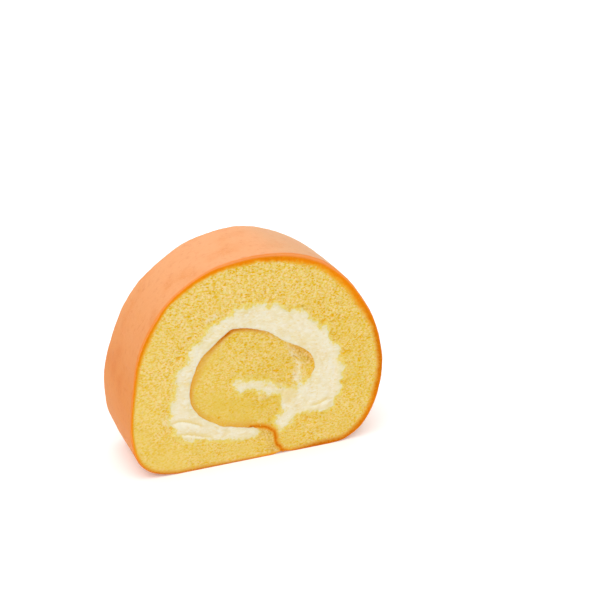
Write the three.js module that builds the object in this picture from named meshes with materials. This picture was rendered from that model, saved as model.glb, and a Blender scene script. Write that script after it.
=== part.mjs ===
// A slice of swiss roll cake, cut straight across the roll and stood on its flattened underside.
// One sheet of sponge is spread with whipped cream and rolled up with its baked skin outwards. The
// inner end is folded into a thick core, and the free end is tucked under the roll, where its cut
// end leans on the skin of the turn before it. The cream fills all that the sheet leaves open.
// Millimetres. X runs along the cut faces, Y through the slice and Z up from the board it stands on.

import * as THREE from "three";

// ---- Driving dimensions ----

const width = 80; // of the near cut face, at its widest
const height = 64.5; // of the near cut face, from the board to the crown
const thickness = 27.5; // from one cut face to the other

const skinBulge = 0.4; // how far the skin swells between the two cut faces
const deepestSwelling = 31.5; // radius about the eye below which nothing swells
const fullSwelling = 35; // and above which all of it moves
const boardZone = 12; // height over which the swelling grows from the flat foot

const seamFoot = 7.4; // where the free end meets the board, along X
const seamGap = 0.35; // between the free end and the skin that it leans on
const footRadius = 1.5; // by which the corners on both sides of the seam are rounded off
const fillingGap = 0.3; // between the cream's solid and the sponge's

const contourStep = 1.25; // spacing of the points along the lines of the cut face
const sheetSteps = 4; // rows of facets through the sheet
const creamSteps = 1; // and through the cream, whose walls run straight

// The turns wind round the eye. Lines about it are lists of [degrees clockwise from straight down,
// radius], drawn for a roll of the width and height above.
const eye = new THREE.Vector2(-3, 27);

// The baked skin, from the board, round the tight left haunch, the crown and the fuller right
// haunch, back to the board.
const skin = [
  [41.5, 36.05], [47.5, 38.7], [53, 40.5], [59, 41.0], [66, 40.1], [76, 38.1], [92, 35.8], [108, 35.7],
  [123, 35.8], [140, 36.5], [159, 36.9], [175, 37.1], [188, 37.9], [202, 39.2], [214, 40.2], [228, 40.5],
  [241, 40.8], [254, 41.7], [267, 42.6], [276, 43.2], [286, 43.4], [295, 43.3], [303, 42.5], [311, 40.2],
  [317, 36.95],
];

// The roll isn't quite even: how far its skin stands out at the far face, past the near face's.
const farSwelling = [
  [0, 0.3], [54, 0.4], [87, 1.9], [112, 0.1], [120, 0.1], [143, -0.6], [190, 1.1], [211, 0.2],
  [233, 1.3], [290, 0.2], [360, 0.3],
];

// The skin of the core, from above the seam round to the core's nose.
const coreSkin = [
  [0, 16.2], [20, 15.8], [40, 17.2], [60, 18.6], [80, 19.0], [100, 18.3], [120, 17.0], [140, 16.6],
  [160, 17.1], [180, 15.5], [200, 14.4], [220, 14.1], [240, 16.3], [260, 19.7], [280, 18.7],
];

// The fold inside the core, from under its nose, in round the tongue of cream and out to the crease.
const fold = [
  [289, 16.0], [296, 12.4], [297, 7.2], [322, 1.7], [97, 4.7], [82, 5.4], [42, 6.9], [28, 4.3],
  [341, 4.2], [327, 7.0], [311, 10.3], [316, 13.3], [325, 15.4], [335, 17.2],
];

// The outer edge of the cream, from the crease at the core's foot, down into the pocket beside it,
// round the right haunch and over the crown, down the left and along the board to the thin tail.
const creamEdge = [
  [336, 18.9], [328, 21.3], [314, 21.9], [304, 25.6], [294, 30.2], [274, 30.5], [250, 27.8], [236, 24.6],
  [221, 24.9], [203, 22.8], [178, 22.9], [160, 21.5], [143, 20.4], [130, 21.8], [116, 21.6], [98, 23.2],
  [80, 24.6], [66, 28.3], [56, 27.4], [40, 23.0], [24, 20.9], [6, 20.0],
];

// ---- Lines of the cut face, as Vector2 with y for height ----

const { clamp, degToRad, euclideanModulo, lerp, radToDeg, smoothstep } = THREE.MathUtils;

function aboutEye([clock, radius]) {
  const angle = degToRad(clock);
  return new THREE.Vector2(eye.x - radius * Math.sin(angle), eye.y - radius * Math.cos(angle));
}

function evenlySpaced(curve) {
  return curve.getSpacedPoints(Math.max(2, Math.round(curve.getLength() / contourStep)));
}

function smoothLine(points) {
  return evenlySpaced(new THREE.SplineCurve(points));
}

function straightLine(from, to) {
  return evenlySpaced(new THREE.LineCurve(from, to));
}

// The skin's line, pressed flat on the board, at the width and height that are asked for.
function rollOutline() {
  const round = smoothLine(skin.map(aboutEye));
  const box = new THREE.Box2().setFromPoints(round);
  const scaleX = width / (box.max.x - box.min.x);
  const scaleZ = height / (box.max.y - box.min.y);
  for (const p of round) p.set(p.x * scaleX, (p.y - box.min.y) * scaleZ);
  round[0].y = 0;
  round.at(-1).y = 0;
  return round;
}

// The skin turns up from the board at the seam and runs over into the core's skin.
function seamCurve(coreStart, aside) {
  return new THREE.CubicBezierCurve(
    new THREE.Vector2(seamFoot - aside, 0),
    new THREE.Vector2(4.3 - aside, 4.6),
    new THREE.Vector2(5.2 - aside, 9.4 - aside),
    new THREE.Vector2(coreStart.x, coreStart.y - aside),
  );
}

const outline = rollOutline();
const coreLine = smoothLine(coreSkin.map(aboutEye));
const foldLine = smoothLine(fold.map(aboutEye));
const turnedUpSkin = evenlySpaced(seamCurve(coreLine[0], 0)).slice(1, -1);
const freeEnd = evenlySpaced(seamCurve(coreLine[0], seamGap)).slice(1, -2);
const creamEdgeLine = smoothLine([...creamEdge.map(aboutEye), freeEnd.at(-1)]);

const freeEndFoot = new THREE.Vector2(seamFoot - seamGap - footRadius, 0);
const skinFoot = new THREE.Vector2(seamFoot + footRadius, 0);

const sheetContour = [
  ...straightLine(freeEndFoot, outline[0]).slice(0, -1),
  ...outline,
  ...straightLine(outline.at(-1), skinFoot).slice(1),
  ...turnedUpSkin,
  ...coreLine,
  ...foldLine,
  ...creamEdgeLine,
  ...freeEnd.slice(0, -1).reverse(),
];
const cavityContour = [...coreLine, ...foldLine, ...creamEdgeLine.slice(0, -1)];

// ---- Solids ----

// Moves every point of a closed line towards its inside.
function shrunk(points, distance) {
  const inwards = THREE.ShapeUtils.isClockWise(points) ? -1 : 1;
  return points.map((p, i) => {
    const before = points.at(i - 1);
    const after = points[(i + 1) % points.length];
    const along = after.clone().sub(before).normalize();
    return new THREE.Vector2(p.x - inwards * distance * along.y, p.y + inwards * distance * along.x);
  });
}

// The value that a table of [clock, value] gives at a clock angle, smooth between its rows.
function readTable(table, clock) {
  const next = table.findIndex(([rowClock]) => rowClock > clock);
  const [fromClock, from] = table[next - 1];
  const [toClock, to] = table[next];
  return lerp(from, to, smoothstep(clock, fromClock, toClock));
}

// Moves the skin out, most of all midway between the cuts and towards the far face. The near face,
// the core and what rests on the board stay as they are.
function swell(point) {
  const acrossEye = point.x - eye.x;
  const aboveEye = point.z - eye.y;
  const radius = Math.hypot(acrossEye, aboveEye);
  const clock = euclideanModulo(radToDeg(Math.atan2(-acrossEye, -aboveEye)), 360);
  const depth = clamp(point.y / thickness + 0.5, 0, 1);
  const outwards = skinBulge * 4 * depth * (1 - depth) + depth * readTable(farSwelling, clock);
  const share = smoothstep(radius, deepestSwelling, fullSwelling) * smoothstep(point.z, 0, boardZone);
  point.x += (acrossEye / radius) * outwards * share;
  point.z += (aboveEye / radius) * outwards * share;
}

// A solid with this outline, run through the slice.
function throughSlice(name, contour, steps, material) {
  const geometry = new THREE.ExtrudeGeometry(new THREE.Shape(contour), {
    depth: thickness,
    steps,
    bevelEnabled: false,
  });
  geometry.translate(0, 0, -thickness / 2);
  geometry.rotateX(Math.PI / 2);
  const position = geometry.getAttribute("position");
  const point = new THREE.Vector3();
  for (let i = 0; i < position.count; i++) {
    point.fromBufferAttribute(position, i);
    swell(point);
    position.setXYZ(i, point.x, point.y, point.z);
  }
  geometry.computeVertexNormals();
  const mesh = new THREE.Mesh(geometry, material);
  mesh.name = name;
  return mesh;
}

function spongeSheet() {
  const material = new THREE.MeshStandardMaterial({ color: 0xebc869, roughness: 0.9, metalness: 0 });
  return throughSlice("sponge_sheet", sheetContour, sheetSteps, material);
}

function creamFilling() {
  const material = new THREE.MeshStandardMaterial({ color: 0xf2e8cc, roughness: 0.55, metalness: 0 });
  return throughSlice("cream_filling", shrunk(cavityContour, fillingGap), creamSteps, material);
}

const slice = new THREE.Group();
slice.add(spongeSheet());
slice.add(creamFilling());

// The swelling moves the slice's middle a little, so the slice is set back over the origin.
const reach = new THREE.Box3().setFromObject(slice);
slice.position.x = -(reach.min.x + reach.max.x) / 2;

export default slice;
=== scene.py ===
"""A slice of vanilla swiss roll with whipped cream, standing on a pale table under soft light.

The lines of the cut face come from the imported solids. Lengths are in millimetres until a mesh is
made, and the near cut face is the one at the lowest Y.
"""

import math

import bmesh
import bpy
import numpy as np
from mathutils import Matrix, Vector, geometry, kdtree


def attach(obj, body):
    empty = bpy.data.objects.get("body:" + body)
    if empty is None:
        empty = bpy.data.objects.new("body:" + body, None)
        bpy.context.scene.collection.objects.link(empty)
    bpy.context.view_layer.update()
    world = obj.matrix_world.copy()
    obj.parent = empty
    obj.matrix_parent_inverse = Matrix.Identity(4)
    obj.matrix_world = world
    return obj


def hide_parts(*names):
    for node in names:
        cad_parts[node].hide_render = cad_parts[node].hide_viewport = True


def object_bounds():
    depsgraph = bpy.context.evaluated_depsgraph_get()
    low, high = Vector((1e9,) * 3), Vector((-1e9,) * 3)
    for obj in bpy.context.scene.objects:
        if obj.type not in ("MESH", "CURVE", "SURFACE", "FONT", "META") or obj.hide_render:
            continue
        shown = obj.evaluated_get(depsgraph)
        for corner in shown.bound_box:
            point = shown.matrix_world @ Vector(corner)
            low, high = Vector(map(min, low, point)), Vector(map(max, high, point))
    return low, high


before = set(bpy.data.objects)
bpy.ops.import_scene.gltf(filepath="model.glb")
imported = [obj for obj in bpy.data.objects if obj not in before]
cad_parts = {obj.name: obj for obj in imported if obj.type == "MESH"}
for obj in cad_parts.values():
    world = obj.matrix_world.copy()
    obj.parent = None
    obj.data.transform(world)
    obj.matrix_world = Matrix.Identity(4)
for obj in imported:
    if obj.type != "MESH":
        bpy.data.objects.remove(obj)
cad_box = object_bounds()
MM = 0.001


# ---------------------------------------------------------------------------------------------
# The rolled sponge sheet. A thin airy sponge, baked flat, turned over and rolled with its browned
# skin outwards, then cut across with a knife. The skin is smooth and matt. The cuts show the
# crumb: small bubbles, a few torn holes, and the skin's browned rim all along its outer side.
# ---------------------------------------------------------------------------------------------

GRAIN = {"near": 0.27, "far": 0.4}  # spacing of the mesh on the two cuts
JITTER = 0.22  # how far its points lie off an even grid, in steps of the mesh
CLEARANCE = 0.62  # and how near to its edges, in the same steps
RING_STEP = 0.3  # spacing of the points along the cut's edges
SEED = {"near": 11, "far": 31}  # for all that differs between the two cuts

ON_FACE = 0.01  # how near to a solid's flat face counts as on it
# Lines of the cut face, as X and Z.
EYE = np.array([-2.7, 27.0])  # the middle of the turns
NOSE = np.array([15.7, 23.8])  # the end of the sheet, in the middle of the roll
TAIL = np.array([-4.8, 7.1])  # where the cream's tail begins to round off
TAIL_TIP = ((-2.9, 7.8), (-1.6, 8.7), (-1.4, 9.6), (-2.3, 10.5))
OVER_TAIL = np.array([-3.6, 10.9])  # on the skin that comes over it
SLIT_LEFT = np.array([6.5, 1.2])  # the free end, just above the board
SLIT_RIGHT = np.array([7.1, 1.2])  # and the skin that it leans on
SEAM = (
    (7.2, 0.3), (6.3, 1.8), (5.4, 3.1), (4.9, 4.5), (4.75, 6.1), (4.4, 7.5), (3.5, 8.6), (2.3, 9.3),
    (0.8, 9.9), (-1.1, 10.4), (-3.4, 10.7),
)
SEAM_CLOCK = -15  # degrees from straight down at which lengths round the turns begin
MEAN_RADIUS = 22  # of the turns, for those lengths
CORE_RADII = (21, 18)  # about the eye: nothing of the core past the first, all within the second

# The skin between the two cuts, and the height of its foot on both sides of the seam.
SKIN_ROWS = (0.04, 0.12, 0.3, 0.9, 2.2, 5.0, 9.0)  # depths of its rows, from each cut
EDGE_ROUND = 0.35  # round of its edge at the cut
EDGE_AT_CUT = 0.6  # share of that round at the cut itself
PRESSED_HEIGHT = 3  # height up to which the board presses it
PRESSED_FLAT = 0.75  # share of the edge's round that is pressed flat at the board
SKIN_BULGE = 0.4  # how far it swells midway between the cuts
BULGE_HEIGHT = 12  # height over which that grows
SKIN_SET_BACK = 0.18  # how far it lies within the solid's, and outside it at the near cut
UNEVEN_THROUGH = 27  # depth of the slice in the pattern of its unevenness
FOOT_HEIGHT = 1.6  # below which the foot's own heights hold
FOOT = (
    (2.4, 0.0), (4.0, 0.12), (5.4, 0.5), (6.5, 0.75), (7.0, 0.3), (7.5, 0.5), (9.0, 0.3), (11.5, 0.0),
)

# Unevenness, in layers: how strong each is, and the size of its patches.
SKIN_UNEVEN = ((0.08, 6.0), (0.06, 2.4), (0.04, 1.1))
CORE_SKIN_UNEVEN = ((0.08, 2.0), (0.08, 0.7))
CREAM_EDGE_RAGGED = ((0.17, 1.3), (0.09, 0.6))
SEAM_UNEVEN = ((0.2, 1.1),)
KNIFE_WAVES = ((0.10, 7.0), (0.05, 2.4))
GRIT = ((0.06, 0.62), (0.05, 0.33))
GRIT_DRAWN = (1.3, 0.8)  # how much finer the grit is round the turns and across them
OPEN_PATCHES = ((0.25, 4.5),)
RICH_PATCHES = ((0.15, 4.0), (0.1, 1.7))
RIM_UNEVEN = ((0.25, 2.5), (0.15, 0.8))
TORN_RAGGED = ((0.8, 0.7),)
SMEAR_RAGGED = ((0.6, 1.2), (0.45, 0.5))
TAN_RAGGED = ((0.8, 1.8),)
TAN_PATCHES = ((0.3, 1.3),)

# The browned rim at the cut, by degrees clockwise from straight down: how wide its darkest line
# is, how far it fades to golden and on to plain crumb, how brown that line is, from 0 to 1, and
# how far the soft skin itself rolls over onto the cut.
RIM = np.array([
    (0, 0.05, 1.1, 0.7, 0.2), (13, 0.05, 1.1, 1.0, 0.2), (30, 0.05, 1.4, 0.9, 0.2),
    (47, 0.10, 1.3, 0.9, 0.2), (63, 0.20, 0.9, 0.1, 0.1), (80, 0.25, 0.8, 0.1, 0.1),
    (99, 0.30, 1.3, 0.15, 0.1), (118, 0.60, 1.4, 0.1, 0.2), (137, 0.50, 0.9, 0.0, 0.3),
    (156, 1.00, 1.0, 0.0, 0.35), (175, 1.05, 1.2, 0.05, 0.9), (193, 1.75, 1.1, 0.15, 1.1),
    (210, 1.50, 1.7, 0.1, 1.3), (227, 0.90, 2.1, 0.0, 0.6), (244, 1.10, 1.8, 0.25, 0.3),
    (261, 0.65, 1.6, 0.6, 0.1), (277, 0.80, 1.7, 0.7, 0.1), (292, 0.65, 1.8, 0.4, 0.1),
    (308, 0.60, 1.6, 0.7, 0.1), (322, 0.50, 1.5, 0.9, 0.1), (331, 0.15, 1.3, 0.8, 0.1),
    (338, 0.05, 1.3, 0.3, 0.1), (352, 0.05, 1.1, 0.4, 0.2), (360, 0.05, 1.1, 0.7, 0.2),
])
# The first three along the skin inside the roll, by its length from above the cream's tail to the
# nose, and how much of it shows.
CORE_RIM = np.array([
    (0, 0.5, 2.6, 0.8, 0.50), (6, 0.4, 1.8, 0.8, 0.42), (11, 0.3, 2.4, 0.5, 0.22),
    (16, 0.3, 1.6, 0.8, 0.44), (21, 0.3, 1.3, 0.8, 0.46), (26, 0.4, 1.2, 0.7, 0.60),
    (31, 0.4, 2.6, 0.7, 0.50), (36, 0.4, 2.4, 0.9, 0.50), (41, 0.5, 1.3, 0.9, 0.70),
    (46, 0.6, 0.9, 1.0, 0.95), (51, 0.5, 0.9, 0.9, 0.75), (56, 0.4, 0.9, 1.0, 0.62),
    (61, 0.3, 1.2, 1.0, 0.32), (66, 0.3, 1.4, 1.0, 0.06), (71, 0.4, 1.0, 0.9, 0.38),
    (76, 0.4, 0.9, 0.2, 0.26), (80, 0.4, 1.2, 0.0, 0.18), (90, 0.5, 1.6, 0.1, 0.20),
])
# The first three at the seam, on the side of the skin that the free end leans on (0) and on the
# free end's own side (1).
SEAM_RIM = np.array([(0, 0.12, 1.4, 0.5), (1, 0.05, 0.9, 0.5)])
BROWNED_EDGE = 0.75  # how browned the skin itself is at the cut
BROWNED_DEPTH = 0.9  # from the cut, where that has faded out

# How far the core stands out past the solid's, along the same skin, and its nose as a whole.
CORE_FULLER = np.array([
    (0, 0.4), (8, 0.5), (11, 0.0), (13.5, 0.1), (16, 0.4), (19, 0.6), (21, 0.6), (24, 0.35),
    (26, 0.35), (28.5, 0.05), (31, 0.05), (33.5, 0.5), (36, 0.7), (39, 0.2), (42, 0.0), (56, 0.0),
    (59, 0.25), (63, 0.25), (66, -0.2), (68.5, -0.3), (71, 0.05), (73.5, 0.15), (77, 0.0),
])
NOSE_SIDE = np.array([16.9, 26.4])  # the middle of what is fuller at the nose
NOSE_FULLER = np.array([0.9, -0.1])
NOSE_RADII = (4.5, 0.5)  # about that middle: nothing past the first, all within the second
# Lobes of the crumb's edge along the cream: where, by its length from the nose, half how long, and
# how far the crumb stands out into the cream, or back from it.
LOBES = (
    (3.0, 0.9, -0.5), (4.9, 1.1, 0.9), (12.0, 1.5, -0.6), (16.2, 1.6, -0.8), (20.9, 1.4, 0.6),
    (23.5, 3.0, 0.9), (30.5, 2.0, 1.1), (46.0, 3.0, 0.6), (51.0, 1.8, 1.7), (57.5, 1.5, -1.2),
    (63.0, 3.2, 1.1), (73.5, 4.5, -1.4), (78.0, 2.0, 1.0), (83.5, 2.0, 1.6), (86.7, 1.8, 1.8),
    (90.0, 1.0, 0.5), (92.3, 4.0, 1.3), (100.0, 4.5, 1.6), (104.6, 1.2, -1.0), (106.0, 1.0, 0.7),
    (107.9, 1.1, -1.3), (119.3, 3.0, 1.3), (124.0, 1.5, -0.8), (125.4, 1.0, 0.6), (132.4, 2.4, 1.7),
    (138.5, 3.0, 0.8), (145.0, 3.0, -1.3), (150.0, 2.0, 1.4), (158.0, 2.0, 1.2), (162.0, 1.6, -1.2),
    (165.7, 2.6, 0.9), (172.0, 1.5, -0.7), (179.4, 4.0, 1.4), (187.0, 2.0, -0.6), (208.0, 2.5, -0.7),
)

# How open the crumb is, and how much deeper yellow, by degrees clockwise from straight down.
OPEN_BY_TURN = np.array([
    (0, 0.3), (45, 0.2), (95, 0.2), (130, 0.65), (200, 0.95), (240, 0.85), (270, 0.75), (310, 0.55),
    (360, 0.3),
])
RICH_BY_TURN = np.array([
    (0, 0.25), (45, 0.2), (95, 0.05), (200, 0.05), (230, 0.15), (260, 0.3), (300, 0.26), (330, 0.26),
    (360, 0.25),
])
OPEN_CORE = (0.25, 0.7)  # least in the core, and how much more in its upper right
OPEN_BY_CREAM = 0.4  # how much more beside the cream
RICH_CORE = (0.26, 0.24)  # at the core's top, and how much more at its foot

# The knife's marks. It left the crumb below the skin's edge, and opened bubbles.
DRAG = 0.3  # how far below
DRAG_FROM_SKIN = (0.3, 1.2)  # how far from the skin that begins, and is reached
LEAST_BELOW = 0.03  # how far all on the cuts stays below the solid's flat face
CALM_EDGE = 0.5  # how far from the cream bubbles and grit are full
SEAM_GROOVE = 0.25  # depth of the seam below the crumb beside it
SEAM_HALF_BREADTH = 0.5
BUBBLES = 1.3  # to each square millimetre of the most open crumb
FEWEST_BUBBLES = 0.3  # share of them in the closest crumb
BUBBLE_RADIUS = 0.19  # of the middling one
BUBBLE_SPREAD = 0.3
BUBBLE_LIMITS = (0.12, 0.38)
BUBBLE_LONGEST = 1.7  # times its breadth
BUBBLE_DEPTH = 0.8  # of its radius
PIT_LEAST = 0.75  # radius of the smallest pit, in steps of the mesh
# Holes that it tore in the crumb where the cream let go of it: X, Z, half width, half height.
TORN = (
    (11.9, 47.0, 1.1, 0.5), (9.9, 46.7, 0.5, 0.4), (20.4, 41.4, 0.8, 0.8), (26.5, 29.7, 0.5, 1.0),
    (28.6, 30.4, 1.1, 0.5), (28.2, 26.4, 0.7, 0.5), (26.9, 20.2, 0.5, 0.5), (24.7, 12.9, 1.0, 0.5),
    (-24.4, 37.0, 1.2, 0.6), (-27.8, 15.3, 0.7, 0.4), (-17.9, 9.0, 0.8, 0.5), (24.1, 36.3, 0.5, 0.5),
    (3.7, 50.3, 0.7, 0.4), (-20.9, 42.5, 0.6, 0.4), (5.2, 27.3, 0.6, 0.5), (33.0, 33.8, 0.5, 0.6),
    (23.3, 42.8, 0.5, 0.5), (-13.0, 15.7, 0.6, 0.4), (10.1, 10.3, 0.6, 0.4), (13.3, 11.4, 0.6, 0.4),
    (12.4, 8.9, 0.5, 0.4), (16.4, 12.1, 0.5, 0.4), (15.0, 9.9, 0.4, 0.4),
)
TORN_DEPTH = 0.2
TORN_EDGE = (1.2, 0.2)  # from a hole's middle, in half widths, where it has ended and is full
# Cream that it drew over the core's nose, from a faint start to a broad end.
NOSE_SMEAR = ((8.3, 36.0), (10.2, 32.9), (12.0, 29.7), (12.1, 26.8), (11.9, 23.2))
SMEAR_SHOWN = (0.55, 0.3)  # at the start, and how much more at the end
SMEAR_HALF_BREADTH = (1.0, 1.4)  # likewise
SMEAR_LEAN = math.radians(-55)  # how steeply its streaks run down to the right
# Thin patches of cream beside its edge: a line, half how broad the patch is, and how much shows.
THIN_PATCHES = (
    (((-15.6, 46.8), (-14.3, 47.7), (-12.8, 48.3)), 0.7, 0.65),
    (((-29.4, 18.6), (-28.9, 16.8)), 0.9, 0.5),
    (((0.2, 19.9), (3.4, 20.6)), 0.8, 0.4),
    (((4.2, 23.2), (6.8, 22.9)), 0.6, 0.5),
)

# The crumb that the brown skin tinted: under the nose, along this stretch of the core's skin, and
# in the flap beside the seam.
TAN_STRETCH = (67, 80)
TAN_ENDS = 3  # length over which it begins and ends
TAN_AT_NOSE = (4.2, 1.0)  # how far from the skin it has faded out, and is full
TAN_AT_SEAM = (4.5, 0.4)
TAN_OF_FLAP = 0.85  # how tan the flap is on the whole


def cut_line(node, side):
    """The closed line round a solid's cut face, clockwise as seen from the near side."""
    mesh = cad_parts[node].data
    mesh.calc_loop_triangles()
    places = np.array([v.co for v in mesh.vertices]) / MM
    triangles = places[np.array([t.vertices for t in mesh.loop_triangles])]
    face = places[:, 1].min() if side == "near" else places[:, 1].max()
    triangles = triangles[np.abs(triangles[:, :, 1] - face).max(axis=1) < ON_FACE]
    edges = set()
    for corners in np.round(triangles[:, :, [0, 2]], 3).tolist():
        for i in range(3):
            start, end = tuple(corners[i]), tuple(corners[i - 2])
            edges.symmetric_difference_update({(start, end)})
            if (end, start) in edges:
                edges -= {(start, end), (end, start)}
    following = dict(edges)
    place = next(iter(following))
    line = []
    while place in following:
        line.append(place)
        place = following.pop(place)
    line = np.array(line)
    area = np.sum(line[:, 0] * np.roll(line[:, 1], -1) - line[:, 1] * np.roll(line[:, 0], -1))
    return line[::-1] if area > 0 else line


def stretch(line, start, end):
    """The part of a closed line from its point nearest to start, on to the one nearest to end."""
    line = np.roll(line, -np.hypot(*(line - start).T).argmin(), axis=0)
    return line[: np.hypot(*(line - end).T).argmin() + 1]


def evenly(line, step=RING_STEP, count=None):
    """Even points on a smooth curve through the line's points, both ends among them."""
    line = np.asarray(line)
    held = np.vstack([2 * line[0] - line[1], line, 2 * line[-1] - line[-2]])
    a, b, c, d = held[:-3], held[1:-2], held[2:-1], held[3:]
    t = np.linspace(0, 1, 8, endpoint=False)[:, None, None]
    curve = b + 0.5 * t * (c - a + t * (2 * a - 5 * b + 4 * c - d + t * (3 * b - a - 3 * c + d)))
    curve = np.vstack([curve.transpose(1, 0, 2).reshape(-1, 2), line[-1:]])
    along = np.r_[0, np.cumsum(np.hypot(*np.diff(curve, axis=0).T))]
    at = np.linspace(0, along[-1], count or int(round(along[-1] / step)) + 1)
    return np.c_[np.interp(at, along, curve[:, 0]), np.interp(at, along, curve[:, 1])]


def lengths_along(line):
    """The length of the line up to each of its points."""
    return np.arange(len(line)) * RING_STEP


def tree_of(places):
    """A search tree over 2-D places."""
    tree = kdtree.KDTree(len(places))
    for i, (x, z) in enumerate(places):
        tree.insert((x, z, 0), i)
    tree.balance()
    return tree


def nearest_on(line, places):
    """For each place, the number of the nearest of a line's close points, and its distance."""
    tree = tree_of(line)
    found = np.array([tree.find((x, z, 0))[1:] for x, z in places])
    return found[:, 0].astype(int), found[:, 1]


def distance_to(places, line):
    """How far each place is from a line of close points."""
    return nearest_on(line, places)[1]


def distance_from(places, spot):
    """How far each place is from one spot."""
    return np.hypot(*(places - spot).T)


def clock_of(places):
    """Degrees about the eye, clockwise from straight down as seen from the near side."""
    away = places - EYE
    return np.degrees(np.arctan2(-away[:, 0], -away[:, 1])) % 360


def round_and_out(places):
    """Places as a length round the turns, from the seam on, and the distance from the eye."""
    turn = np.radians((clock_of(places) - SEAM_CLOCK) % 360)
    return np.c_[turn * MEAN_RADIUS, distance_from(places, EYE)]


def patchy(places, size, seed):
    """Smooth random values from -1 to 1 over 2-D places, in patches of about this size."""
    cells = 97
    table = np.random.default_rng(seed).uniform(-1, 1, (cells, cells))
    at = places / size
    cell = np.floor(at).astype(int)
    t = at - cell
    t = t * t * (3 - 2 * t)
    i, j = cell[:, 0] % cells, cell[:, 1] % cells
    after_i, after_j = (i + 1) % cells, (j + 1) % cells
    low = table[i, j] * (1 - t[:, 0]) + table[after_i, j] * t[:, 0]
    high = table[i, after_j] * (1 - t[:, 0]) + table[after_i, after_j] * t[:, 0]
    return low * (1 - t[:, 1]) + high * t[:, 1]


def mottle(places, layers, seed):
    """The sum of patchy layers over 2-D places."""
    return sum(
        strength * patchy(places, size, seed + number)
        for number, (strength, size) in enumerate(layers)
    )


def fade(values, zero, one):
    """0 up to zero and 1 from one on, smooth between. One may be the lower of the two."""
    t = np.clip((values - zero) / (one - zero), 0, 1)
    return t * t * (3 - 2 * t)


def moved_sideways(line, by):
    """The line with each point moved to the left of its run."""
    along = np.gradient(line, axis=0)
    along /= np.hypot(*along.T)[:, None]
    return line + by[:, None] * np.c_[-along[:, 1], along[:, 0]]


near_sheet = cut_line("sponge_sheet", "near")
far_sheet = cut_line("sponge_sheet", "far")
half_thickness = (cad_box[1].y - cad_box[0].y) / MM / 2

roll_line = {"near": evenly(stretch(near_sheet, SLIT_LEFT, SLIT_RIGHT))}
roll_line["far"] = evenly(stretch(far_sheet, SLIT_LEFT, SLIT_RIGHT), count=len(roll_line["near"]))
core_line = evenly(stretch(near_sheet, OVER_TAIL, NOSE))
core_line = moved_sideways(core_line, np.interp(lengths_along(core_line), *CORE_FULLER.T))
cream_line = evenly(np.vstack([stretch(near_sheet, NOSE, TAIL), TAIL_TIP]))
for line in (core_line, cream_line):
    line += fade(distance_from(line, NOSE_SIDE), *NOSE_RADII)[:, None] * NOSE_FULLER
run = lengths_along(cream_line)
lobed = sum(out * fade(np.abs(run - at), half_length, 0.0) for at, half_length, out in LOBES)
cream_line = moved_sideways(cream_line, lobed)
seam_line = evenly(SEAM)
seam_line = moved_sideways(seam_line, mottle(seam_line, SEAM_UNEVEN, seed=21))


def ragged_cavity(seed):
    """The hole that the cream fills at one cut: crisp along the skin, ragged along the crumb."""
    run = lengths_along(cream_line)
    ends = fade(run, 0, 2) * fade(run, run[-1], run[-1] - 2)
    by = ends * mottle(np.c_[run, np.zeros(len(run))], CREAM_EDGE_RAGGED, seed)
    crumb_side = moved_sideways(cream_line, by)
    run = lengths_along(core_line)
    by = mottle(np.c_[run, np.zeros(len(run))], CORE_SKIN_UNEVEN, seed + 2)
    return np.vstack([moved_sideways(core_line, by), crumb_side])


def inside(places, ring):
    """Whether each place lies within a closed line."""
    crossings = np.zeros(len(places), int)
    for a, b in zip(ring, np.roll(ring, -1, axis=0)):
        level = (places[:, 1] < a[1]) != (places[:, 1] < b[1])
        at = a[0] + (places[level, 1] - a[1]) * (b[0] - a[0]) / (b[1] - a[1] or 1)
        crossings[level] += places[level, 0] < at
    return crossings % 2 == 1


def cut_mesh(roll, cavity, grain, seed):
    """Places and triangles over a whole cut, sponge and cream. The first places are the roll's
    ring, then the cavity's."""
    fixed = np.vstack([roll, cavity])
    low, high = roll.min(axis=0), roll.max(axis=0)
    x, z = np.meshgrid(
        np.arange(low[0], high[0], grain), np.arange(low[1], high[1], grain * math.sqrt(0.75))
    )
    x[1::2] += grain / 2
    spots = np.c_[x.ravel(), z.ravel()]
    spots += np.random.default_rng(seed).uniform(-JITTER, JITTER, spots.shape) * grain
    spots = spots[inside(spots, roll)]
    spots = spots[distance_to(spots, fixed) > CLEARANCE * grain]
    edges = []
    for start, count in ((0, len(roll)), (len(roll), len(cavity))):
        edges += [(start + i, start + (i + 1) % count) for i in range(count)]
    made = geometry.delaunay_2d_cdt(
        [Vector(p) for p in np.vstack([fixed, spots]).tolist()], edges, [], 0, 1e-5, False
    )
    places, triangles = np.array([tuple(p) for p in made[0]]), np.array(made[2])
    return places, triangles[inside(places[triangles].mean(axis=1), roll)]


def skin_row(share, inset):
    """The skin's line at a share of the way from the near cut to the far one."""
    line = roll_line["near"] * (1 - share) + roll_line["far"] * share
    bulge = SKIN_BULGE * 4 * share * (1 - share) * fade(line[:, 1], 0, BULGE_HEIGHT)
    spots = np.c_[lengths_along(line), np.full(len(line), share * UNEVEN_THROUGH)]
    uneven = mottle(spots, SKIN_UNEVEN, seed=23)
    uneven += SKIN_SET_BACK - 2 * SKIN_SET_BACK * (1 - share) ** 4
    pressed = fade(line[:, 1], PRESSED_HEIGHT, 0)
    by = bulge - inset * (1 - PRESSED_FLAT * pressed) - uneven * (1 - pressed)
    line = moved_sideways(line, by)
    foot = (line[:, 1] < FOOT_HEIGHT) & (line[:, 0] > FOOT[0][0]) & (line[:, 0] < FOOT[-1][0])
    line[foot, 1] = np.interp(line[foot, 0], *np.transpose(FOOT))
    line[:, 1] = np.maximum(line[:, 1], 0.0)
    return line


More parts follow.
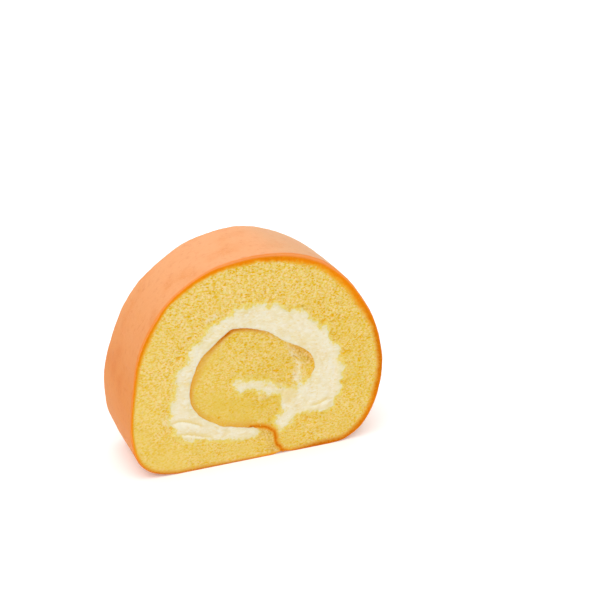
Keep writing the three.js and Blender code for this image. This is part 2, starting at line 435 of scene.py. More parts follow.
cuts = {}
for side, share in (("near", 0.0), ("far", 1.0)):
    ring = skin_row(share, EDGE_ROUND * EDGE_AT_CUT)
    cavity = ragged_cavity(SEED[side])
    places, triangles = cut_mesh(ring, cavity, GRAIN[side], SEED[side] + 5)
    in_cream = inside(places[triangles].mean(axis=1), cavity)
    cuts[side] = {"places": places, "ring": len(ring), "cavity": len(cavity), "hole": cavity}
    cuts[side]["sponge"] = triangles[~in_cream]
    cuts[side]["cream"] = triangles[in_cream]


def knife_level(places, side):
    """How far the knife's cut lies below the solid's flat face, before crumb and cream differ."""
    return DRAG + mottle(places, KNIFE_WAVES, SEED[side] + 50)


def by_turn_and_core(places, by_turn, core_crumb):
    """Values by the turn where places are outside the core, and the core's own within it."""
    in_core = fade(distance_from(places, EYE), *CORE_RADII)
    return np.interp(clock_of(places), *by_turn.T) * (1 - in_core) + core_crumb * in_core


def openness(places):
    """How open the crumb is, from 0 to 1: most under the crown, in the upper right of the core and
    beside the cream."""
    least, more = OPEN_CORE
    core_crumb = least + more * fade(places[:, 0] + 0.6 * places[:, 1], 4, 18)
    by_cream = OPEN_BY_CREAM * fade(distance_to(places, cream_line), 3.5, 0.5)
    by_turn = by_turn_and_core(places, OPEN_BY_TURN, core_crumb)
    return np.clip(by_turn + by_cream + mottle(places, OPEN_PATCHES, seed=41), 0, 1)


def richness(places):
    """How much deeper yellow and darker the crumb is, from 0 to 1: in patches, most on the right, at
    the bottom and in the core.
    """
    least, more = RICH_CORE
    core_crumb = least + more * fade(places[:, 1], 27, 18)
    by_turn = by_turn_and_core(places, RICH_BY_TURN, core_crumb)
    return np.clip(by_turn + mottle(places, RICH_PATCHES, seed=51), 0, 1)


def bubble_pits(places, grain, seed):
    """How deep the knife opened the crumb's bubbles at each place."""
    rng = np.random.default_rng(seed)
    low, high = places.min(axis=0), places.max(axis=0)
    centres = rng.uniform(low, high, (int(BUBBLES * np.prod(high - low)), 2))
    kept = FEWEST_BUBBLES + (1 - FEWEST_BUBBLES) * openness(centres)
    centres = centres[rng.random(len(centres)) < kept]
    radii = rng.lognormal(math.log(BUBBLE_RADIUS), BUBBLE_SPREAD, len(centres))
    radii = np.clip(radii, *BUBBLE_LIMITS)
    longer = rng.uniform(1.0, BUBBLE_LONGEST, len(centres))
    turns = rng.uniform(0, math.pi, len(centres))
    depth = np.zeros(len(places))
    tree = tree_of(places)
    for centre, radius, share, turn in zip(centres, radii, longer, turns):
        wide = max(radius, PIT_LEAST * grain)
        found = tree.find_range((*centre, 0), wide * share)
        if not found:
            continue
        near = np.array([index for _, index, _ in found])
        away = places[near] - centre
        u = (away[:, 0] * math.cos(turn) + away[:, 1] * math.sin(turn)) / (wide * share)
        v = (away[:, 1] * math.cos(turn) - away[:, 0] * math.sin(turn)) / wide
        bowl = BUBBLE_DEPTH * radius * np.sqrt(np.clip(1 - u * u - v * v, 0, 1))
        depth[near] = np.maximum(depth[near], bowl)
    return depth


def torn_open(places):
    """How far the crumb is torn open beside the cream, from 0 to 1."""
    torn = np.zeros(len(places))
    ragged = 1 + mottle(places, TORN_RAGGED, seed=45)
    for x, z, half_width, half_height in TORN:
        away = np.hypot((places[:, 0] - x) / half_width, (places[:, 1] - z) / half_height)
        torn = np.maximum(torn, fade(away * ragged, *TORN_EDGE))
    return torn


def read_table(table, at):
    """The columns of a table at these values of its first one."""
    return [np.interp(at, table[:, 0], column) for column in table.T[1:]]


def by_seam(places):
    """How far each place is from the seam, and whether it is on the free end's side of it."""
    at_seam, to_seam = nearest_on(seam_line, places)
    beside = seam_line[at_seam]
    on_free_end = (places[:, 0] < beside[:, 0]) & (places[:, 1] < beside[:, 1] + 0.5)
    return to_seam, on_free_end


def browning(places, side):
    """How browned each place is, from 1 on the skin's line to 0, how brown that line is, and how
    far the skin lies over it."""
    uneven = mottle(places, RIM_UNEVEN, seed=43)

    def browned(width, reach, away):
        return (width + reach - away + uneven * width) / reach

    at_core, to_core = nearest_on(core_line, places)
    to_skin = distance_to(places, roll_line[side])
    to_seam, on_free_end = by_seam(places)
    width, reach, dark, rolled_over = read_table(RIM, clock_of(places))
    crust = fade(to_skin, rolled_over, 0.0)
    rim = browned(width, reach, to_skin)
    width, reach, core_dark, shown = read_table(CORE_RIM, at_core * RING_STEP)
    core_rim = shown * np.clip(browned(width, reach, to_core), 0, 1)
    width, reach, seam_dark = read_table(SEAM_RIM, on_free_end)
    seam_rim = browned(width, reach, to_seam)
    most = [seam_rim > np.maximum(core_rim, 0), core_rim > rim]
    dark = np.select(most, [seam_dark, core_dark], dark)
    return np.clip(np.maximum.reduce([rim, core_rim, seam_rim]), 0, 1), dark, crust


def smeared(places):
    """How much cream the knife has drawn over the crumb: across the nose of the core, and in thin
    patches."""
    path = evenly(NOSE_SMEAR)
    at, away = nearest_on(path, places)
    along = at / len(path)
    ragged = mottle(places, SMEAR_RAGGED, seed=46)
    shown = SMEAR_SHOWN[0] + SMEAR_SHOWN[1] * along
    half_breadth = SMEAR_HALF_BREADTH[0] + SMEAR_HALF_BREADTH[1] * along
    thin = shown * fade(away + ragged * (0.6 + along), half_breadth, 0.1)
    for line, half_breadth, shown in THIN_PATCHES:
        away = distance_to(places, evenly(line)) + 0.5 * ragged
        thin = np.maximum(thin, shown * fade(away, 1.6 * half_breadth, 0.3 * half_breadth))
    return thin


def tanned(places):
    """How far the crumb is tinted by the brown skin that it was pressed to."""
    at_core, to_core = nearest_on(core_line, places)
    run = at_core * RING_STEP
    start, end = TAN_STRETCH
    by_nose = fade(run, start, start + TAN_ENDS) * fade(run, end, end - TAN_ENDS)
    nose = by_nose * fade(to_core + mottle(places, TAN_RAGGED, seed=48), *TAN_AT_NOSE)
    to_seam, on_free_end = by_seam(places)
    patches = TAN_OF_FLAP + mottle(places, TAN_PATCHES, seed=49)
    flap = fade(to_seam, *TAN_AT_SEAM) * on_free_end * patches
    return np.maximum(nose, flap)


def crumb_marks(places, side):
    """How far each place of a cut lies below the solid's flat face, and what its finish reads."""
    open_crumb = openness(places)
    within = fade(distance_to(places, roll_line[side]), *DRAG_FROM_SKIN)
    free = within * fade(distance_to(places, cuts[side]["hole"]), 0.0, CALM_EDGE)
    pits = bubble_pits(places, GRAIN[side], SEED[side] + 51) * free * (0.5 + 0.5 * open_crumb)
    torn = torn_open(places)
    grit = mottle(round_and_out(places) * GRIT_DRAWN, GRIT, SEED[side] + 53)
    below = within * knife_level(places, side) + free * grit * (0.5 + open_crumb) + pits
    groove = SEAM_GROOVE * fade(distance_to(places, seam_line), SEAM_HALF_BREADTH, 0.0)
    below += groove + TORN_DEPTH * free * torn
    rim, dark, crust = browning(places, side)
    marks = {"rim": rim, "dark": dark, "crust": crust, "pit": pits, "torn": torn, "open": open_crumb}
    marks |= {"rich": richness(places), "smeared": smeared(places), "tanned": tanned(places)}
    marks["edge"] = -distance_to(places, cream_line)
    return np.maximum(below, LEAST_BELOW), marks


def closed_piece(name, parts):
    """One closed mesh object from its places, its faces with their material numbers, and the marks
    that its finish reads. Its walls face out."""
    mesh = bpy.data.meshes.new(name)
    faces = [f for part in parts["faces"] for f in part[0].tolist()]
    mesh.from_pydata((parts["places"] * MM).tolist(), [], faces)
    mesh.polygons.foreach_set(
        "material_index", np.concatenate([np.full(len(f), number) for f, number in parts["faces"]])
    )
    for label, values in parts["marks"].items():
        attribute = mesh.attributes.new(label, "FLOAT", "POINT")
        attribute.data.foreach_set("value", values.astype(np.float32))
    tidy = bmesh.new()
    tidy.from_mesh(mesh)
    bmesh.ops.recalc_face_normals(tidy, faces=tidy.faces)
    tidy.to_mesh(mesh)
    tidy.free()
    mesh.polygons.foreach_set("use_smooth", np.ones(len(mesh.polygons), bool))
    mesh.set_sharp_from_angle(angle=math.radians(70))
    piece = bpy.data.objects.new(name, mesh)
    bpy.context.scene.collection.objects.link(piece)
    return piece


def strip(first, second):
    """Quads between two closed rows of the same count of vertex numbers."""
    return np.c_[first, np.roll(first, -1), np.roll(second, -1), second]


def both_cuts(layer, marks_of):
    """The places, faces, marks and first numbers of one layer on the near and the far cut."""
    rows, faces, marks, start = [], [], [], {}
    count = 0
    for side, face_sign in (("near", -1), ("far", 1)):
        used, triangles = np.unique(cuts[side][layer], return_inverse=True)
        places = cuts[side]["places"][used]
        below, marked_places = marks_of(places, side)
        if layer == "sponge":
            below[: cuts[side]["ring"]] = SKIN_ROWS[0]
        rows.append(np.c_[places[:, 0], face_sign * (half_thickness - below), places[:, 1]])
        marks.append(marked_places)
        faces.append((triangles.reshape(-1, 3) + count, 0))
        start[side] = count
        count += len(places)
    return rows, faces, marks, start


def joined(rows, faces, marks):
    """The parts of a mesh, put together."""
    marks = {label: np.concatenate([m[label] for m in marks]) for label in marks[0]}
    return {"places": np.vstack(rows), "faces": faces, "marks": marks}


def rolled_sponge():
    """Both cuts of the crumb, the skin round them, and the wall of the hole for the cream."""
    rows, faces, marks, start = both_cuts("sponge", crumb_marks)
    count = sum(len(row) for row in rows)
    ring, cavity = cuts["near"]["ring"], cuts["near"]["cavity"]
    depths = np.r_[SKIN_ROWS[1:], half_thickness, 2 * half_thickness - np.array(SKIN_ROWS[:0:-1])]
    before = start["near"] + np.arange(ring)
    for depth in depths:
        from_cut = min(depth, 2 * half_thickness - depth)
        lean = 1 - math.sqrt(1 - max(0, 1 - from_cut / EDGE_ROUND) ** 2)
        line = skin_row(depth / 2 / half_thickness, EDGE_ROUND * lean)
        rows.append(np.c_[line[:, 0], np.full(ring, depth - half_thickness), line[:, 1]])
        marks.append({label: np.zeros(ring) for label in marks[0]})
        marks[-1]["rim"] += BROWNED_EDGE * fade(from_cut, BROWNED_DEPTH, 0.0)
        marks[-1]["dark"] += read_table(RIM, clock_of(line))[2]
        row = count + np.arange(ring)
        faces.append((strip(before, row), 1))
        before, count = row, count + ring
    faces.append((strip(before, start["far"] + np.arange(ring)), 1))
    near_hole = start["near"] + ring + np.arange(cavity)
    faces.append((strip(near_hole, start["far"] + ring + np.arange(cavity)), 0))
    return closed_piece("rolled_sponge", joined(rows, faces, marks))


def colour(code):
    """A colour written as on a paint chart, as linear light with alpha."""
    values = [int(code[i : i + 2], 16) / 255 for i in (0, 2, 4)]
    return (*[v / 12.92 if v <= 0.04045 else ((v + 0.055) / 1.055) ** 2.4 for v in values], 1)


def add_node(tree, kind, inputs=None, **settings):
    """Adds a node. Inputs holds, by socket name or number, a value or the socket that feeds it."""
    node = tree.nodes.new(kind)
    for name, value in settings.items():
        setattr(node, name, value)
    for key, value in (inputs or {}).items():
        if isinstance(value, bpy.types.NodeSocket):
            tree.links.new(value, node.inputs[key])
        else:
            node.inputs[key].default_value = value
    return node


def blended(tree, share, low, high, how="MIX"):
    """The colour between two others."""
    inputs = {0: share, 6: low, 7: high}
    return add_node(tree, "ShaderNodeMix", inputs, data_type="RGBA", blend_type=how).outputs[2]


def reckoned(tree, how, first, second, third=0.0):
    """The result of a sum on two or three numbers."""
    inputs = {0: first, 1: second, 2: third}
    return add_node(tree, "ShaderNodeMath", inputs, operation=how).outputs[0]


def moved_by(tree, how, where, by, then=(0, 0, 0)):
    """The result of a sum on places."""
    inputs = {0: where, 1: by, 2: then}
    return add_node(tree, "ShaderNodeVectorMath", inputs, operation=how).outputs[0]


def stepped(tree, value, zero, one, how="SMOOTHSTEP"):
    """0 up to zero and 1 from one on, smooth between."""
    inputs = {"Value": value, "From Min": zero, "From Max": one}
    return add_node(tree, "ShaderNodeMapRange", inputs, interpolation_type=how).outputs[0]


def grains(tree, where, per_mm, detail=2.0, rough=0.5):
    """Soft noise, so many grains to the millimetre."""
    inputs = {"Vector": where, "Scale": per_mm, "Detail": detail, "Roughness": rough}
    return add_node(tree, "ShaderNodeTexNoise", inputs).outputs["Fac"]


def marked(tree, label):
    """A value that the mesh carries."""
    return add_node(tree, "ShaderNodeAttribute", attribute_name=label).outputs["Fac"]


def new_finish(name):
    """A material with its node tree, its surface shader, and places on the object in mm."""
    material = bpy.data.materials.new(name)
    material.use_nodes = True
    tree = material.node_tree
    spot = add_node(tree, "ShaderNodeTexCoord").outputs["Object"]
    where = moved_by(tree, "MULTIPLY", spot, (1 / MM,) * 3)
    return material, tree, tree.nodes["Principled BSDF"], where


def dress(tree, surface, tint, relief, bump, rough, gloss, soft):
    """Gives a surface its colour, fine relief and gloss. Bump holds how strong and how high the
    relief is, and soft how far light sinks in: how much of it, the length for each of the three
    colours, and their scale."""
    inputs = {"Strength": bump[0], "Distance": bump[1] * MM, "Height": relief}
    tree.links.new(add_node(tree, "ShaderNodeBump", inputs).outputs[0], surface.inputs["Normal"])
    tree.links.new(tint, surface.inputs["Base Color"])
    surface.inputs["Roughness"].default_value = rough
    surface.inputs["Specular IOR Level"].default_value = gloss
    surface.inputs["Subsurface Weight"].default_value = soft[0]
    surface.inputs["Subsurface Radius"].default_value = soft[1]
    surface.inputs["Subsurface Scale"].default_value = soft[2] * MM


def bubbles(tree, where, per_mm, smallest, spread, soft):
    """1 in the middle of round bubbles of uneven size and 0 between them."""
    inputs = {"Vector": where, "Scale": per_mm, "Randomness": 1.0}
    found = add_node(tree, "ShaderNodeTexVoronoi", inputs, feature="F1")
    reach = reckoned(tree, "MULTIPLY", found.outputs["Color"], spread)
    past = reckoned(tree, "SUBTRACT", found.outputs["Distance"], reach)
    return stepped(tree, past, smallest + soft, smallest - soft)


def knife_drawn(tree, where, along_x):
    """Places for noise that the knife has drawn out on its way along X."""
    return moved_by(tree, "MULTIPLY", where, (along_x, 1, 1.1))


def crumb_looks(tree, where):
    """The crumb's colour away from the skin, and its fine relief. Where the crumb is less open it
    is smoother too. Its hollows, pits and torn holes are painted darker and deeper yellow, as painted
    shade."""
    drawn = knife_drawn(tree, where, 0.72)
    fine = grains(tree, drawn, 1.7, detail=2.0, rough=0.7)
    hue = grains(tree, where, 1.9, detail=1.0)
    clumps = grains(tree, drawn, 0.7, detail=2.0, rough=0.6)
    large = bubbles(tree, drawn, 0.85, 0.04, 0.36, 0.10)
    small = bubbles(tree, drawn, 1.5, 0.06, 0.34, 0.14)
    hollow_shade = reckoned(tree, "MAXIMUM", large, small)
    hollow_shade = reckoned(tree, "MULTIPLY", hollow_shade, stepped(tree, clumps, 0.25, 0.58))
    hollow_shade = reckoned(tree, "MULTIPLY", hollow_shade, stepped(tree, marked(tree, "open"), -0.5, 0.8))
    hollow_shade = reckoned(tree, "MAXIMUM", hollow_shade, stepped(tree, marked(tree, "pit"), 0.05, 0.3))
    web = blended(tree, stepped(tree, hue, 0.3, 0.7), colour("EBCE9D"), colour("DED18F"))
    web = blended(tree, stepped(tree, fine, 0.28, 0.68), colour("DBB313"), web)
    calm = reckoned(tree, "MULTIPLY", stepped(tree, marked(tree, "open"), 0.6, 0.0), 0.6)
    web = blended(tree, calm, web, colour("E1C467"))
    web = blended(tree, marked(tree, "rich"), web, colour("D4B23D"))
    # Painted shade: the hollows and the mesh's pits are painted darker and deeper yellow.
    tint = blended(tree, hollow_shade, web, colour("D7A600"))
    # Painted shade: the torn holes are painted a darker orange.
    torn = reckoned(tree, "MULTIPLY", marked(tree, "torn"), stepped(tree, fine, 0.8, 0.5))
    tint = blended(tree, torn, tint, colour("DAA20A"))
    return tint, reckoned(tree, "SUBTRACT", fine, hollow_shade)


def turned(tree, where):
    """Places for noise that runs round with the turns, across the roll."""
    away = moved_by(tree, "SUBTRACT", where, (EYE[0], 0, EYE[1]))
    flat = moved_by(tree, "MULTIPLY", away, (1, 0, 1))
    heading = add_node(tree, "ShaderNodeVectorMath", {0: flat}, operation="NORMALIZE").outputs[0]
    length = add_node(tree, "ShaderNodeVectorMath", {0: flat}, operation="LENGTH").outputs["Value"]
    out = add_node(tree, "ShaderNodeCombineXYZ", {"Y": length}).outputs[0]
    return moved_by(tree, "MULTIPLY_ADD", heading, (9, 9, 9), out)


def cream_looks(tree, where):
    """The cream's colour and its fine relief: broad streaks that run round with the turns, under
    the knife's finer ones."""
    broad = grains(tree, where, 0.16, detail=2.0)
    streaks = grains(tree, turned(tree, where), 0.32, detail=2.0, rough=0.55)
    fine = grains(tree, knife_drawn(tree, where, 0.55), 0.9, detail=3.0, rough=0.7)
    flecks = grains(tree, knife_drawn(tree, where, 0.6), 1.5, detail=2.0, rough=0.6)
    tint = blended(tree, stepped(tree, broad, 0.35, 0.7), colour("DFD2AA"), colour("E2D9BE"))
    tint = blended(tree, stepped(tree, streaks, 0.45, 0.80), tint, colour("DAC488"))
    tint = blended(tree, stepped(tree, fine, 0.36, 0.78), tint, colour("E6E0CF"))
    tint = blended(tree, stepped(tree, flecks, 0.50, 0.76), tint, colour("DFCB8E"))
    return tint, reckoned(tree, "MULTIPLY_ADD", fine, 0.25, streaks)


def creamed(tree, where, crumb, cream):
    """The colour across the ragged border of crumb and cream, lemon where the crumb is soaked."""
    lumps = grains(tree, where, 0.45, detail=1.0)
    specks = grains(tree, where, 1.5, detail=2.0, rough=0.6)
    ragged = reckoned(
        tree, "ADD",
        reckoned(tree, "MULTIPLY_ADD", lumps, 3.6, -1.8),
        reckoned(tree, "MULTIPLY_ADD", specks, 2.2, -1.1),
    )
    within = reckoned(tree, "ADD", marked(tree, "edge"), ragged)
    soaked = reckoned(tree, "MULTIPLY", stepped(tree, within, -1.5, -0.2), 0.6)
    crumb = blended(tree, soaked, crumb, colour("E2CF6E"))
    thin = reckoned(tree, "MULTIPLY", stepped(tree, within, 1.4, 0.0), 0.3)
    cream = blended(tree, thin, cream, colour("DFD08A"))
    return blended(tree, stepped(tree, within, -0.3, 0.3), crumb, cream)


def crumb_finish():
    """The crumb, tan where it was pressed to the skin, with smears of cream and the browned rim."""
    material, tree, surface, where = new_finish("sponge_crumb")
    tint, relief = crumb_looks(tree, where)
    cream_tint, _ = cream_looks(tree, where)
    fine = grains(tree, where, 1.9, detail=2.0)
    specks = grains(tree, where, 1.7, detail=1.0)
    tans = (
        (fine, 0.2, 0.6, "D4AC5A"),
        (specks, 0.52, 0.64, "C29138"),
        (specks, 0.42, 0.30, "E0C998"),
    )
    for noise, zero, one, code in tans:
        tan = reckoned(tree, "MULTIPLY", marked(tree, "tanned"), stepped(tree, noise, zero, one))
        tint = blended(tree, tan, tint, colour(code))
    tint = creamed(tree, where, tint, cream_tint)
    inputs = {"Vector": where, "Angle": SMEAR_LEAN}
    leaning = add_node(tree, "ShaderNodeVectorRotate", inputs, rotation_type="Y_AXIS").outputs[0]
    hatched = grains(tree, knife_drawn(tree, leaning, 0.35), 1.6, detail=2.0)
    streaky = reckoned(tree, "MULTIPLY", marked(tree, "smeared"), stepped(tree, hatched, 0.34, 0.5))
    tint = blended(tree, streaky, tint, cream_tint)
    uneven = reckoned(tree, "MULTIPLY_ADD", fine, 0.8, 0.6)
    rim = reckoned(tree, "MULTIPLY", marked(tree, "rim"), uneven)
    gold = blended(tree, marked(tree, "dark"), colour("E3A228"), colour("D19C44"))
    line = blended(tree, marked(tree, "dark"), colour("E5840A"), colour("B96200"))
    tint = blended(tree, stepped(tree, rim, 0.0, 0.5, how="LINEAR"), tint, gold)
    tint = blended(tree, stepped(tree, rim, 0.5, 0.95, how="LINEAR"), tint, line)
    tint = blended(tree, marked(tree, "crust"), tint, colour("E9955A"))
    soft = (0.25, (1.0, 0.6, 0.15), 0.5)
    dress(tree, surface, tint, relief, bump=(0.2, 0.1), rough=0.9, gloss=0.0, soft=soft)
    return material


def skin_finish():
    """The baked skin: browner in patches and freckles. Its painted sheen: it is paler to the right of
    the crown, and warmer and deeper low down, so that the crown reads paler."""
    material, tree, surface, where = new_finish("baked_skin")
    patches = grains(tree, where, 0.09, detail=3.0)
    freckles = grains(tree, where, 0.6, detail=3.0, rough=0.6)
    grain = grains(tree, where, 2.2, detail=2.0, rough=0.6)
    along_x, _, height_mm = add_node(tree, "ShaderNodeSeparateXYZ", {0: where}).outputs
    tint = blended(tree, stepped(tree, patches, 0.5, 0.8), colour("E8A069"), colour("E28F4B"))
    # Painted sheen: the skin is painted paler towards the right of the crown, for the light reflected
    # there.
    painted_sheen_right = reckoned(tree, "MULTIPLY", stepped(tree, along_x, zero=0, one=14), 0.8)
    tint = blended(tree, painted_sheen_right, tint, colour("DAA677"))
    tint = blended(tree, stepped(tree, freckles, 0.48, 0.95), tint, colour("DA864A"))
    tint = blended(tree, stepped(tree, grain, 0.5, 0.8), tint, colour("EDA472"))
    # Painted sheen: the skin is painted warmer and deeper below the crown, so that the crown reads
    # paler, as light from above makes it look.
    low_without_painted_sheen = stepped(tree, height_mm, zero=65, one=24)
    tint = blended(tree, low_without_painted_sheen, tint, colour("F1D483"), how="MULTIPLY")
    line = blended(tree, marked(tree, "dark"), colour("E5832A"), colour("C66C1A"))
    tint = blended(tree, marked(tree, "rim"), tint, line)
    relief = reckoned(tree, "MULTIPLY_ADD", freckles, 2.0, grain)
    soft = (0.2, (1.0, 0.5, 0.25), 0.8)
    dress(tree, surface, tint, relief, bump=(0.25, 0.1), rough=0.55, gloss=0.22, soft=soft)
    return material


sponge = rolled_sponge()
sponge.data.materials.append(crumb_finish())
sponge.data.materials.append(skin_finish())
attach(sponge, "root")
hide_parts("sponge_sheet")


# ---------------------------------------------------------------------------------------------
# The whipped cream. It was spread on the sheet before rolling and squeezed to fill every gap. The
# knife smeared it flat at the cut, in soft ridges that run round with the roll and a few folds.
# ---------------------------------------------------------------------------------------------

# The smears and lumps, in layers as above. The smears are longer round the turns than across.
CREAM_SMEARS = ((0.12, (4.0, 1.0)), (0.07, (2.0, 0.5)))
CREAM_LUMPS = ((0.10, 3.4), (0.05, 1.1))
# Folds that the knife left. Under each the cream stands up, painted whiter there as a highlight, and
# above it the fold is given painted shade.
FOLDS = (
    ((15.6, 14.2), (18.8, 14.3), (22.6, 15.6)),
    ((-28.8, 15.6), (-25.4, 16.8), (-21.6, 15.6), (-17.4, 13.3)),
    ((-27.6, 12.2), (-22.8, 12.0), (-18.0, 10.4), (-14.5, 9.4)),
)
FOLD_RISE = 0.16  # how far it stands up
FOLD_ENDS = 6  # points over which a fold runs out at its ends
# How far from a fold each of these has faded out, and is full.
FOLD_REACH = {"rise": (2.6, 0.6), "ridge_highlight": (2.4, 0.4), "shade": (1.5, 0.2)}
LUMP_RAGGED = ((0.5, 1.0),)
# Where the knife drew the cream thin, under the core's nose.
THIN_CREAM = np.array([8.8, 19.6])
THIN_RADII = (4.2, 0.8)  # nothing past the first, and most within the second
THIN_RAGGED = ((1.0, 1.4),)
THIN_SHOWN = 0.8
CREAM_CALM_EDGE = 0.8  # how far from the cream's edge smears and folds are full


def cream_marks(places, side):
    """How far the cream's cut lies below the solid's flat face, and what its finish reads."""
    smears = mottle(round_and_out(places), CREAM_SMEARS, SEED[side] + 90)
    lumps = mottle(places, CREAM_LUMPS, SEED[side] + 92)
    free = fade(distance_to(places, cuts[side]["hole"]), 0.0, CREAM_CALM_EDGE)
    below = knife_level(places, side) + free * (smears + lumps)
    ridge_highlight = np.zeros(len(places))
    to_thin = distance_from(places, THIN_CREAM) + mottle(places, THIN_RAGGED, seed=106)
    thin_and_fold_shade = THIN_SHOWN * fade(to_thin, *THIN_RADII)
    for line in FOLDS:
        line = evenly(line)
        last = len(line) - 1
        at, away = nearest_on(line, places)
        beside = fade(at, 0, FOLD_ENDS) * fade(at, last, last - FOLD_ENDS)
        under = beside * (places[:, 1] < line[at, 1])
        ragged = away + mottle(places, LUMP_RAGGED, seed=105)
        below -= free * FOLD_RISE * fade(away, *FOLD_REACH["rise"]) * under
        thin_and_fold_shade = np.maximum(thin_and_fold_shade, fade(away, *FOLD_REACH["shade"]) * (beside - under))
        ridge_highlight = np.maximum(ridge_highlight, fade(ragged, *FOLD_REACH["ridge_highlight"]) * under)
    marks = {"edge": distance_to(places, cream_line), "thin_and_fold_shade": thin_and_fold_shade, "ridge_highlight": ridge_highlight}
    return np.maximum(below, LEAST_BELOW), marks


def cream_filling():
    """Both cuts of the cream and the wall between them."""
    rows, faces, marks, start = both_cuts("cream", cream_marks)
    ring = np.arange(cuts["near"]["cavity"])
    faces.append((strip(start["near"] + ring, start["far"] + ring), 0))
    return closed_piece("whipped_cream", joined(rows, faces, marks))


def cream_finish():
    """The cream, painted whiter on the ridges under its folds as a highlight and yellower above them
    as painted shade, yellower too where it is thin, with crumb along its border.
    """
    material, tree, surface, where = new_finish("whipped_cream")
    crumb, _ = crumb_looks(tree, where)
    tint, relief = cream_looks(tree, where)
    # Painted highlight on the ridges under the folds; painted shade above the folds, along with the
    # yellower thin cream.
    for label, most, code in (("ridge_highlight", 0.5, "EBE6D2"), ("thin_and_fold_shade", 0.8, "DCC682")):
        share = reckoned(tree, "MULTIPLY", marked(tree, label), most)
        tint = blended(tree, share, tint, colour(code))
    tint = creamed(tree, where, crumb, tint)
    soft = (0.4, (1.0, 0.8, 0.5), 1.0)
    dress(tree, surface, tint, relief, bump=(0.4, 0.2), rough=0.55, gloss=0.2, soft=soft)
    return material


cream = cream_filling()
cream.data.materials.append(cream_finish())
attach(cream, "root")
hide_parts("cream_filling")


# ---------------------------------------------------------------------------------------------
# The loose crumbs. Bits of sponge that the knife tore off: some it pulled out into the cream along
# its edge, where they stuck, and some lie half sunk in the open crumb.
# ---------------------------------------------------------------------------------------------

IN_CREAM = 24  # crumbs pulled out into the cream, on each cut
ON_CRUMB = 240  # and crumbs that lie in the open crumb
PULLED_OUT = (1.3, 0.4)  # shape and scale of how far from the cream's edge
OFF_SKIN = 2.0  # how far from the skin the others stay
CRUMB_RADIUS = 0.2  # of the middling one
CRUMB_SPREAD = 0.35
CRUMB_LIMITS = (0.1, 0.4)
CRUMB_LUMPY = (0.6, 1.4)  # how uneven its shape is
CRUMB_FLATTENED = 0.3  # its thickness, as a share of its breadth
SOAKED, DRY = -0.4, -5.0  # how far into the crumb their finish takes them to be


def crumb_spots(side, rng):
    """Where the crumbs of one cut lie, and how far below the solid's flat face."""
    at = rng.integers(len(cream_line), size=IN_CREAM)
    out = (moved_sideways(cream_line, np.ones(len(cream_line))) - cream_line)[at]
    pulled = cream_line[at] + rng.gamma(*PULLED_OUT, IN_CREAM)[:, None] * out
    pulled = pulled[inside(pulled, cuts[side]["hole"])]
    fallen = cuts[side]["places"][rng.choice(np.unique(cuts[side]["sponge"]), ON_CRUMB)]
    fallen = fallen[distance_to(fallen, roll_line[side]) > OFF_SKIN]
    below = np.r_[cream_marks(pulled, side)[0], crumb_marks(fallen, side)[0]]
    edge = np.r_[np.full(len(pulled), SOAKED), np.full(len(fallen), DRY)]
    return np.vstack([pulled, fallen]), below, edge


def loose_crumbs():
    """Lumpy flattened balls, one for each crumb."""
    rng = np.random.default_rng(71)
    ball = bmesh.new()
    bmesh.ops.create_icosphere(ball, subdivisions=2, radius=1)
    corners = np.array([v.co for v in ball.verts])
    triangles = np.array([[v.index for v in f.verts] for f in ball.faces])
    ball.free()
    rows, faces, marks = [], [], []
    for side, face_sign in (("near", -1), ("far", 1)):
        spots, below, edge = crumb_spots(side, rng)
        count = len(spots)
        size = rng.lognormal(math.log(CRUMB_RADIUS), CRUMB_SPREAD, (count, 1, 1))
        size = np.clip(size, *CRUMB_LIMITS)
        lumps = size * corners * rng.uniform(*CRUMB_LUMPY, (count, len(corners), 1))
        lumps *= rng.uniform(*CRUMB_LUMPY, (count, 1, 3))
        out = half_thickness - below[:, None] + CRUMB_FLATTENED * lumps[:, :, 1]
        out = np.minimum(out, half_thickness - LEAST_BELOW)
        x, z = spots[:, :1] + lumps[:, :, 0], spots[:, 1:] + lumps[:, :, 2]
        start = sum(len(row) for row in rows) + np.arange(count) * len(corners)
        rows.append(np.stack([x, face_sign * out, z], axis=-1).reshape(-1, 3))
        faces.append(((triangles + start[:, None, None]).reshape(-1, 3), 0))
        edge = np.repeat(edge, len(corners))
        dry = edge == DRY
        marks.append({"edge": edge, "open": 0.4 * dry, "rich": 0.3 * dry})
    return closed_piece("loose_crumbs", joined(rows, faces, marks))


crumbs = loose_crumbs()
crumbs.data.materials.append(sponge.data.materials[0])
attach(crumbs, "root")


# ---------------------------------------------------------------------------------------------
# The table, the light and the camera. A white table, faintly lit from within so that it stays
# white, in an even white surround. A large soft light stands overhead, a little to the left and in
# front, and a weaker one comes from behind and sheens the skin.
# ---------------------------------------------------------------------------------------------

TABLE_HALF = 3.0  # metres
TABLE_GLOW = 0.12
SURROUND = 0.61  # how bright it is
CAMERA_TURN = math.radians(-22.78)
CAMERA_RISE = math.radians(20.57)
CAMERA_DISTANCE = 0.3324  # metres, as its aim is
CAMERA_AIM = Vector((0.0185, 0.0, 0.04365))
CAMERA_LENS = 64.9
CAMERA_NEAREST = 0.01  # metres


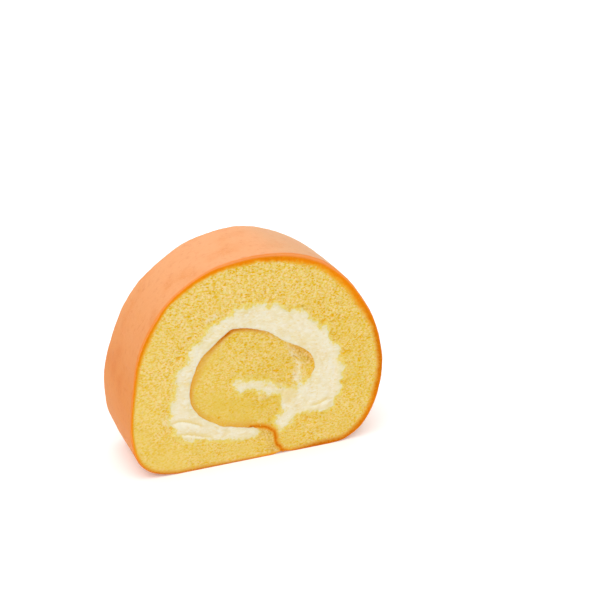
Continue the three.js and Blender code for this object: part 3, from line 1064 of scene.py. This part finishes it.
def table_top():
    """A flat sheet with a matt, almost even finish."""
    mesh = bpy.data.meshes.new("table_top")
    corners = [(x * TABLE_HALF, y * TABLE_HALF, 0) for x, y in ((-1, -1), (1, -1), (1, 1), (-1, 1))]
    mesh.from_pydata(corners, [], [(0, 1, 2, 3)])
    table = bpy.data.objects.new("table_top", mesh)
    bpy.context.scene.collection.objects.link(table)
    material, tree, surface, where = new_finish("pale_table")
    tint = blended(tree, grains(tree, where, 0.02), colour("F8F8F8"), colour("FBFBFB"))
    tree.links.new(tint, surface.inputs["Base Color"])
    surface.inputs["Roughness"].default_value = 0.9
    surface.inputs["Specular IOR Level"].default_value = 0.1
    surface.inputs["Emission Color"].default_value = (1, 1, 1, 1)
    surface.inputs["Emission Strength"].default_value = TABLE_GLOW
    mesh.materials.append(material)
    return table


def diffuser(name, aim, strength, spread):
    """A soft light that shines along an aim, from all over so many degrees of the surround."""
    lamp = bpy.data.lights.new(name, "SUN")
    lamp.energy = strength
    lamp.angle = math.radians(spread)
    light = bpy.data.objects.new(name, lamp)
    light.rotation_euler = Vector(aim).to_track_quat("-Z", "Y").to_euler()
    bpy.context.scene.collection.objects.link(light)


table_top()
diffuser("overhead_diffuser", (0.25, 0.4, -0.9), 1.84, 70)
diffuser("rear_diffuser", (-0.15, -0.8, -0.6), 0.54, 60)

world = bpy.data.worlds.new("white_surround")
world.use_nodes = True
world.node_tree.nodes["Background"].inputs["Color"].default_value = (1, 1, 1, 1)
world.node_tree.nodes["Background"].inputs["Strength"].default_value = SURROUND
bpy.context.scene.world = world
bpy.context.scene.view_settings.view_transform = "Standard"

lens = bpy.data.cameras.new("camera")
lens.lens = CAMERA_LENS
lens.clip_start = CAMERA_NEAREST
camera = bpy.data.objects.new("camera", lens)
back = Vector((
    math.sin(CAMERA_TURN) * math.cos(CAMERA_RISE),
    -math.cos(CAMERA_TURN) * math.cos(CAMERA_RISE),
    math.sin(CAMERA_RISE),
))
camera.location = CAMERA_AIM + back * CAMERA_DISTANCE
camera.rotation_euler = (-back).to_track_quat("-Z", "Y").to_euler()
bpy.context.scene.collection.objects.link(camera)
bpy.context.scene.camera = camera
